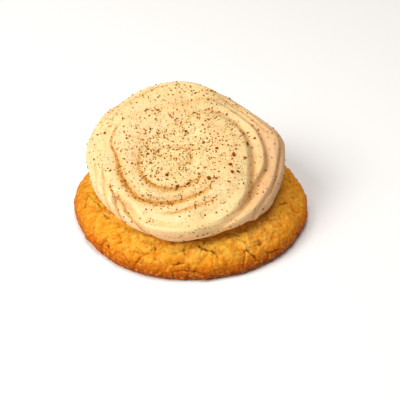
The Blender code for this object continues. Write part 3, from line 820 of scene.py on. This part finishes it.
# %% Keep what the finish needs, and merge the seam
FULL = 1.7  # depth of a fold that is stained all over
TOP_ENDS = (0.95, 1.1)  # levels over which the dusted top ends
on_top = 1 - ease(level_at, *TOP_ENDS)
in_front = 0.2 + 0.8 * ease(-laid[:, 1], -12, 12)         # a fifth of it behind
to_the_right = ease(laid[:, 0] + laid[:, 1] / 2, -8, 24)  # none of it at the left
keep(icing, "level", level_at)
keep(icing, "sunk", sunk_at)
keep(icing, "gathered", np.clip(cocoa_at / FULL, 0, 1) * on_top)
# The seams: cocoa and painted shade on top, only painted shade in the folds below.
keep(icing, "seam", np.clip(seam_at / FULL, 0, 1) * (0.25 + 0.75 * on_top) * in_front)
# Painted shade on the lower strands at the right, turned from the window.
keep(icing, "painted shade lower right", ease(level_at, 1.1, 1.7) * to_the_right)
close_seams(icing)
bpy.ops.object.shade_smooth()
print("icing spans", tenths(np.ptp(laid, axis=0)), "mm; the solid",
      tenths((frosting_high - frosting_low) / MM))

# %% [markdown]
# ### A hand-spread skin
#
# Whipped icing is never glassy: it has a faint swell from the knife and fine pits of
# air. Both are real relief, so they go in with Displace modifiers and cloud textures,
# faded out at the foot so that the icing stays clear of the crust.

# %% Soft unevenness of the icing
def kept_on(thing, name):
    """Read back the numbers kept on the vertices."""
    values = np.empty(len(thing.data.vertices), np.float32)
    thing.data.attributes[name].data.foreach_get("value", values)
    return values.astype(float)


FOOT_CLEAR = (2.5, 2.95)  # levels over which the unevenness fades out
level_at, cocoa_at = (kept_on(icing, name) for name in ("level", "gathered"))
mask(icing, "upper", 1 - ease(level_at, *FOOT_CLEAR))
displace(icing, "swell", 0.35, "upper", "CLOUDS", 5.0, 1)
displace(icing, "skin", 0.10, "upper", "CLOUDS", 1.3, 2)
apply_all(icing)
icing.vertex_groups.clear()
print("icing:", len(icing.data.polygons), "faces")

# %% [markdown]
# ## Cocoa
#
# Sieved cocoa falls thickest on the middle of the top, thins out over the lip and
# gathers in the folds. A flake and a grain are modelled once each, as a ball roughened
# and squashed by hand, and then joined many times over into three meshes, of flakes,
# grains and dust, at places drawn on the icing by a seeded rule.

# %% How much cocoa lies at each vertex
# Level on the icing, and the dusting there: thick in the middle, none at the foot.
DUSTING = ((0.0, 1.0), (0.35, 0.85), (0.60, 0.55), (0.95, 0.33), (1.30, 0.24), (1.9, 0.15),
           (2.3, 0.05), (2.6, 0.0))
CLUMP_SIZE = 6.0
IN_FOLDS = 0.9  # what a full fold adds
THICKEST = 1.5
skin = places_of(icing)
clumped = 0.8 + 0.7 * grain(skin, CLUMP_SIZE, seed=5.0)
density = np.interp(level_at, *zip(*DUSTING)) * clumped
density = np.clip(density + IN_FOLDS * cocoa_at * (level_at < 1.0), 0, THICKEST)
keep(icing, "dusting", density)
print("mean dusting", tenths(density.mean()))

# %% Two lumps of cocoa
HALF_HEIGHT = 0.6  # of a lump, as a part of its radius


def lump_model(detail, rough, flat):
    """The vertices and triangles of one uneven lump of radius 1, flattened along z."""
    select_only(None)
    bpy.ops.mesh.primitive_ico_sphere_add(subdivisions=detail, radius=1.0)
    edit_all()
    bpy.ops.transform.vertex_random(offset=rough, uniform=0.3, seed=SEED)
    bpy.ops.transform.resize(value=(1.0, 1.0, flat))
    bpy.ops.object.mode_set(mode="OBJECT")
    lump = bpy.context.object
    vertices = np.array([vertex.co for vertex in lump.data.vertices])
    faces = np.array([face.vertices for face in lump.data.polygons])
    bpy.data.objects.remove(lump)
    return vertices, faces


flake_model = lump_model(detail=2, rough=0.16, flat=0.62)
grain_model = lump_model(detail=1, rough=0.14, flat=HALF_HEIGHT)
print("a flake has", len(flake_model[1]), "faces, a grain", len(grain_model[1]))

# %% Draw places on the icing
icing_faces = [face.vertices for face in icing.data.polygons]
surface = BVHTree.FromPolygons([vertex.co for vertex in icing.data.vertices], icing_faces)
corner = np.array([face[0] for face in icing_faces])
opposite = np.array([face[2] for face in icing_faces])
chance = np.array([face.area for face in icing.data.polygons]) * density[corner]
chance = np.cumsum(chance / chance.sum())


def scatter(draw, count):
    """Places and normals on the icing, as thick as the dusting there."""
    for _ in range(count):
        face = int(np.searchsorted(chance, draw.random()))
        part = draw.random()
        place = Vector((part * skin[corner[face]] + (1 - part) * skin[opposite[face]]) * MM)
        found, normal, *_ = surface.find_nearest(place)
        yield found, normal


def joined(name, model, spots):
    """One mesh of many copies; a spot is (place, normal, radius, sink, turn, narrow)."""
    vertices, faces = model
    every_vertex, every_face = [], []
    for number, (place, normal, radius, sink, turn, narrow) in enumerate(spots):
        upright = normal.to_track_quat("Z", "Y").to_matrix()
        spun = np.array(upright @ Matrix.Rotation(turn, 3, "Z"))
        centre = np.array(place + normal * radius * (HALF_HEIGHT - sink))
        every_vertex.append(centre + radius * (vertices * (1.0, narrow, 1.0)) @ spun.T)
        every_face.append(faces + number * len(vertices))
    data = bpy.data.meshes.new(name)
    data.from_pydata(np.vstack(every_vertex).tolist(), [], np.vstack(every_face).tolist())
    data.shade_smooth()
    thing = bpy.data.objects.new(name, data)
    bpy.context.scene.collection.objects.link(thing)
    return thing


print("surface of", len(icing_faces), "faces ready for cocoa")

# %% The largest flakes, where the solid has them
# (angle, level, radius) of those that stand out; the others are drawn by a seed.
LARGE_FLAKES = (
    (83, 0.80, 1.00), (72, 0.78, 0.85), (65, 0.85, 0.85), (101, 1.18, 0.60),
    (159, 0.34, 0.70), (92, 0.55, 0.75), (95, 1.02, 0.85), (82, 0.97, 0.65),
    (47, 0.60, 0.85), (68, 0.92, 0.60), (3, 0.50, 0.85), (19, 0.49, 0.80),
    (29, 0.70, 0.65), (52, 0.69, 0.55), (110, 0.39, 0.65), (340, 0.35, 0.75),
    (253, 0.98, 0.60), (328, 2.10, 0.45), (255, 0.67, 0.50), (149, 0.92, 0.55),
)
RED_FLAKES = 6  # the first of them are reddish
FLAKES = 46
FLAKE_RADIUS = (0.30, 0.44)
FLAKE_NARROW = (0.60, 0.95)
FLAKE_SINK = 0.25  # part of its radius that a flake lies below the surface
FLAKE_SPACING = 2.0
FLAKE_LEVEL = 0.95  # outermost level of the drawn ones


def flake_draws(draw):
    """Angle, level and radius of the listed flakes, then of drawn ones without end."""
    yield from LARGE_FLAKES
    while True:
        degrees, level = draw.uniform(0, 360), FLAKE_LEVEL * math.sqrt(draw.random())
        yield degrees, level, draw.uniform(*FLAKE_RADIUS)


def flake_spots():
    """The fused flakes of the solid, drawn by the same seeded rule."""
    draw = random.Random(SEED)
    spots = []
    for degrees, level, radius in flake_draws(draw):
        turn = draw.uniform(0, math.pi)
        narrow = draw.uniform(*FLAKE_NARROW)
        smooth_place = Vector(icing_point(front_angle(degrees), level)) * MM
        place, normal, *_ = surface.find_nearest(smooth_place)
        if all((place - spot[0]).length >= FLAKE_SPACING * MM for spot in spots):
            spots.append((place, normal, radius * MM, FLAKE_SINK, turn, narrow))
        if len(spots) == FLAKES:
            return spots


flakes = joined("cocoa_flakes", flake_model, flake_spots())
of_flake = np.arange(len(flakes.data.vertices)) // len(flake_model[0])
keep(flakes, "red", of_flake < RED_FLAKES)
print("flakes:", len(flakes.data.polygons), "faces")

# %% Grains and dust
GRAINS = 2000
GRAIN_RADIUS = (0.20, 0.54)
DUST = 7500
DUST_RADIUS = (0.09, 0.19)
GRAIN_SINK = (0.1, 0.4)
GRAIN_NARROW = (0.5, 0.95)
SMALL_ONES = 2.2  # how much more often the small sizes come


def loose(seed, count, sizes):
    """Spots of a size range, small ones far more often than large ones."""
    draw = random.Random(seed)
    small, large = sizes
    for place, normal in scatter(draw, count):
        radius = (small + (large - small) * draw.random() ** SMALL_ONES) * MM
        turn = draw.uniform(0, 2 * math.pi)
        yield place, normal, radius, draw.uniform(*GRAIN_SINK), turn, draw.uniform(*GRAIN_NARROW)


grains = joined("cocoa_grains", grain_model, loose(SEED + 1, GRAINS, GRAIN_RADIUS))
dust = joined("cocoa_dust", grain_model, loose(SEED + 2, DUST, DUST_RADIUS))
print("grains:", len(grains.data.polygons), "faces; dust:", len(dust.data.polygons))

# %% [markdown]
# ## Materials
#
# Each finish is a small node tree on Object coordinates or on the numbers kept on the
# vertices. A few helpers keep the trees short: one for a mix of two colours, one for
# noisy patches, one for a place along an axis, and one that lays colours over others.

# %% Node helpers
def add_node(tree, kind, values, **settings):
    """The outputs of a new node; its values are sockets, numbers or colours."""
    node = tree.nodes.new("ShaderNode" + kind)
    for name, setting in settings.items():
        setattr(node, name, setting)
    for name, value in values.items():
        if isinstance(value, bpy.types.NodeSocket):
            tree.links.new(value, node.inputs[name])
        else:
            node.inputs[name].default_value = (*value, 1) if isinstance(value, tuple) else value
    return node.outputs


def mix(tree, factor, first, second):
    """Two colours mixed by a factor."""
    return add_node(tree, "Mix", {0: factor, 6: first, 7: second}, data_type="RGBA")[2]


def scaled(tree, value, factor):
    """A value times a number or another value."""
    return add_node(tree, "Math", {0: value, 1: factor}, operation="MULTIPLY")[0]


def between(tree, value, low, high):
    """A value remapped so that low gives 0 and high gives 1, clamped."""
    return add_node(tree, "MapRange", {"Value": value, "From Min": low, "From Max": high})[0]


def kept(tree, name):
    """A number kept on the vertices."""
    return add_node(tree, "Attribute", {}, attribute_name=name)["Fac"]


def object_noise(tree, size, detail):
    """Noise in the object's own space, with lumps of a size in millimetres."""
    place = add_node(tree, "TexCoord", {})["Object"]
    return add_node(tree, "TexNoise",
                    {"Vector": place, "Scale": 1 / (size * MM), "Detail": detail})[0]


def along(tree, axis, start, end):
    """0 to 1 between two places in millimetres along an axis."""
    place = add_node(tree, "TexCoord", {})["Object"]
    return between(tree, add_node(tree, "SeparateXYZ", {0: place})[axis], start * MM, end * MM)


def patches(tree, size, detail, low, high):
    """0 to 1 in noisy patches of a size in millimetres."""
    return between(tree, object_noise(tree, size, detail), low, high)


def layered(tree, below, layers):
    """Colours laid over below; a layer is (colour, strength, and where it shows)."""
    for colour, strength, *places in layers:
        for place in places:
            strength = scaled(tree, place, strength)
        below = mix(tree, strength, below, colour)
    return below


def soft(shader, weight, radius, depth):
    """Let light soak in, to a depth in millimetres."""
    for name, value in (("Weight", weight), ("Radius", radius), ("Scale", depth * MM)):
        shader.inputs["Subsurface " + name].default_value = value


def bumped(tree, shader, height, depth):
    """Fine bump, with its depth in millimetres."""
    bump = add_node(tree, "Bump", {"Height": height, "Distance": depth * MM})[0]
    tree.links.new(bump, shader.inputs["Normal"])


print("node helpers ready")

# %% [markdown]
# ### Baked crust
#
# Butter and sugar brown from the foot upwards: golden on the plates, orange-brown on the
# shoulder, browner low down and at the foot, with a sparkle of paler sugar grains. Painted
# shade darkens the cracks, the right side, the left rim and the lower edge, and a painted
# contact shadow runs along the foot.
# Each layer below is a colour, how strong it is, and where it shows.

# %% The crust's finish
baked, tree, shader = new_material("baked crust", 0.7, shine=0.08)
golden = mix(tree, patches(tree, 9.0, 3.0, 0.4, 0.62), (0.81, 0.46, 0.05), (0.79, 0.39, 0.022))
crust_colour = layered(tree, golden, (
    # The tan flaky crumb at the right of the front, then sugary patches and toasted ones.
    ((0.86, 0.5, 0.13), 0.7, kept(tree, "pale crumb"), patches(tree, 3.0, 2.0, 0.4, 0.56)),
    ((0.95, 0.56, 0.1), 0.7, patches(tree, 4.6, 3.0, 0.5, 0.62)),
    ((0.64, 0.21, 0.005), 0.75, patches(tree, 3.2, 3.0, 0.46, 0.6)),
    # Painted shade towards the right, turned from the window; browner on the shoulder.
    ((0.76, 0.27, 0.01), 0.55, along(tree, "X", 15, 42)),
    ((0.76, 0.22, 0.003), 1.0, along(tree, "Z", 12.0, 6.0)),
    # Painted shade round the left rim, toning it down where the window lights it.
    ((0.58, 0.2, 0.01), 0.75, along(tree, "X", -36, -49), along(tree, "Z", 13, 9)),
    # Browner low down, with painted shade where the edge turns down from the light.
    ((0.43, 0.06, 0.0), 1.0, along(tree, "Z", 8.0, 2.5)),
    # Browner at the foot, with a painted contact shadow along it.
    ((0.26, 0.05, 0.003), 1.0, along(tree, "Z", 2.6, 0.4)),
    # Sugar grains, dark spots, and painted shade in the cracks.
    ((0.95, 0.56, 0.08), 0.4, patches(tree, 1.2, 2.0, 0.52, 0.66)),
    ((0.42, 0.15, 0.006), 0.65, patches(tree, 2.0, 3.0, 0.44, 0.33)),
    ((0.26, 0.075, 0.003), 1.0, between(tree, kept(tree, "crack"), 0.15, 0.7)),
))
tree.links.new(crust_colour, shader.inputs["Base Color"])
soft(shader, 0.06, (1.0, 0.4, 0.1), 1.0)
bumped(tree, shader, object_noise(tree, 0.6, 2.0), 0.15)
crust.data.materials.append(baked)
print("crust painted")

# %% [markdown]
# ### Coffee icing
#
# Mascarpone and coffee whip to a pale tan cream. Light soaks a little way in, which
# softens the folds, so the shader has some subsurface. Where cocoa gathers it stains the
# cream around it a warm tan, most of all in the folds in front. Painted shade lies in the
# seams and hollows, on the left and right sides, and painted bounce light warms the foot.

# %% The icing's finish
cream, tree, shader = new_material("coffee icing", 0.48)
tan = mix(tree, patches(tree, 14.0, 2.0, 0.4, 0.62), (0.92, 0.71, 0.355), (0.9, 0.66, 0.3))
level, dusting = kept(tree, "level"), kept(tree, "dusting")
fold = scaled(tree, between(tree, kept(tree, "gathered"), 0.03, 0.38),
              patches(tree, 1.6, 3.0, 0.2, 0.5))
icing_colour = layered(tree, tan, (
    # Painted bounce light, warm, lifting the foot, and a thin veil of dust inside the lip.
    ((0.99, 0.68, 0.37), 1.0, between(tree, level, 1.7, 2.3)),
    ((0.87, 0.57, 0.26), 0.45, between(tree, level, 1.05, 0.75),
     between(tree, level, 0.3, 0.55)),
    # Painted shade: the window-lit left side toned down.
    ((0.89, 0.64, 0.33), 0.6, along(tree, "X", -5, -30)),
    # Painted shade, warm, in the hollows that the folds press in.
    ((0.88, 0.51, 0.19), 0.55, between(tree, kept(tree, "sunk"), 0.5, 2.6)),
    # Painted shade on the lower strands at the right, turned from the window.
    ((0.77, 0.47, 0.235), 1.0, kept(tree, "painted shade lower right")),
    # Painted shade down the right side, turned from the window.
    ((0.66, 0.39, 0.19), 0.7, along(tree, "X", 24, 40)),
    # Stains of cocoa where dust lies, in the folds and more in front; in the seams, cocoa and
    # painted shade.
    ((0.76, 0.46, 0.13), 0.85, dusting, patches(tree, 2.2, 4.0, 0.38, 0.66)),
    ((0.74, 0.42, 0.12), 0.35, fold),
    ((0.72, 0.36, 0.07), 1.0, fold, along(tree, "Y", 12, -8)),
    ((0.62, 0.27, 0.035), 1.0, between(tree, kept(tree, "seam"), 0.03, 0.4),
     patches(tree, 0.8, 3.0, 0.32, 0.5)),
    # The finest specks of all.
    ((0.4, 0.19, 0.03), 0.9, dusting, patches(tree, 0.45, 2.0, 0.34, 0.26)),
))
tree.links.new(icing_colour, shader.inputs["Base Color"])
soft(shader, 0.25, (1.0, 0.5, 0.2), 3.0)
bumped(tree, shader, object_noise(tree, 0.5, 3.0), 0.05)
icing.data.materials.append(cream)
print("icing painted")

# %% [markdown]
# ### Cocoa powder
#
# Cocoa is matt, and no two lumps are the same brown. A few of the largest flakes are
# reddish, and here and there a grain.

# %% The cocoa's finish
FLAKE_BROWNS = (0.18, 0.048, 0.0), (0.34, 0.105, 0.001), (0.38, 0.062, 0.003)
POWDER_BROWNS = (0.23, 0.08, 0.0), (0.55, 0.25, 0.01), (0.55, 0.14, 0.003)
for name, browns, pieces in (("cocoa flakes", FLAKE_BROWNS, (flakes,)),
                             ("cocoa powder", POWDER_BROWNS, (grains, dust))):
    cocoa, tree, shader = new_material(name, 0.95, shine=0.02)
    dark, light, red = browns
    brown = mix(tree, patches(tree, 2.0, 1.0, 0.35, 0.65), dark, light)
    reddish = kept(tree, "red") if flakes in pieces else patches(tree, 4.5, 0.0, 0.62, 0.68)
    tree.links.new(mix(tree, reddish, brown, red), shader.inputs["Base Color"])
    for piece in pieces:
        piece.data.materials.append(cocoa)
print("cocoa painted")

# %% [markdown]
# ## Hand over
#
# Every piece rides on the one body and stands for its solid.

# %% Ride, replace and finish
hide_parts("cookie")
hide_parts("frosting")
for piece in (crust, icing, flakes, grains, dust):
    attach(piece, "root")
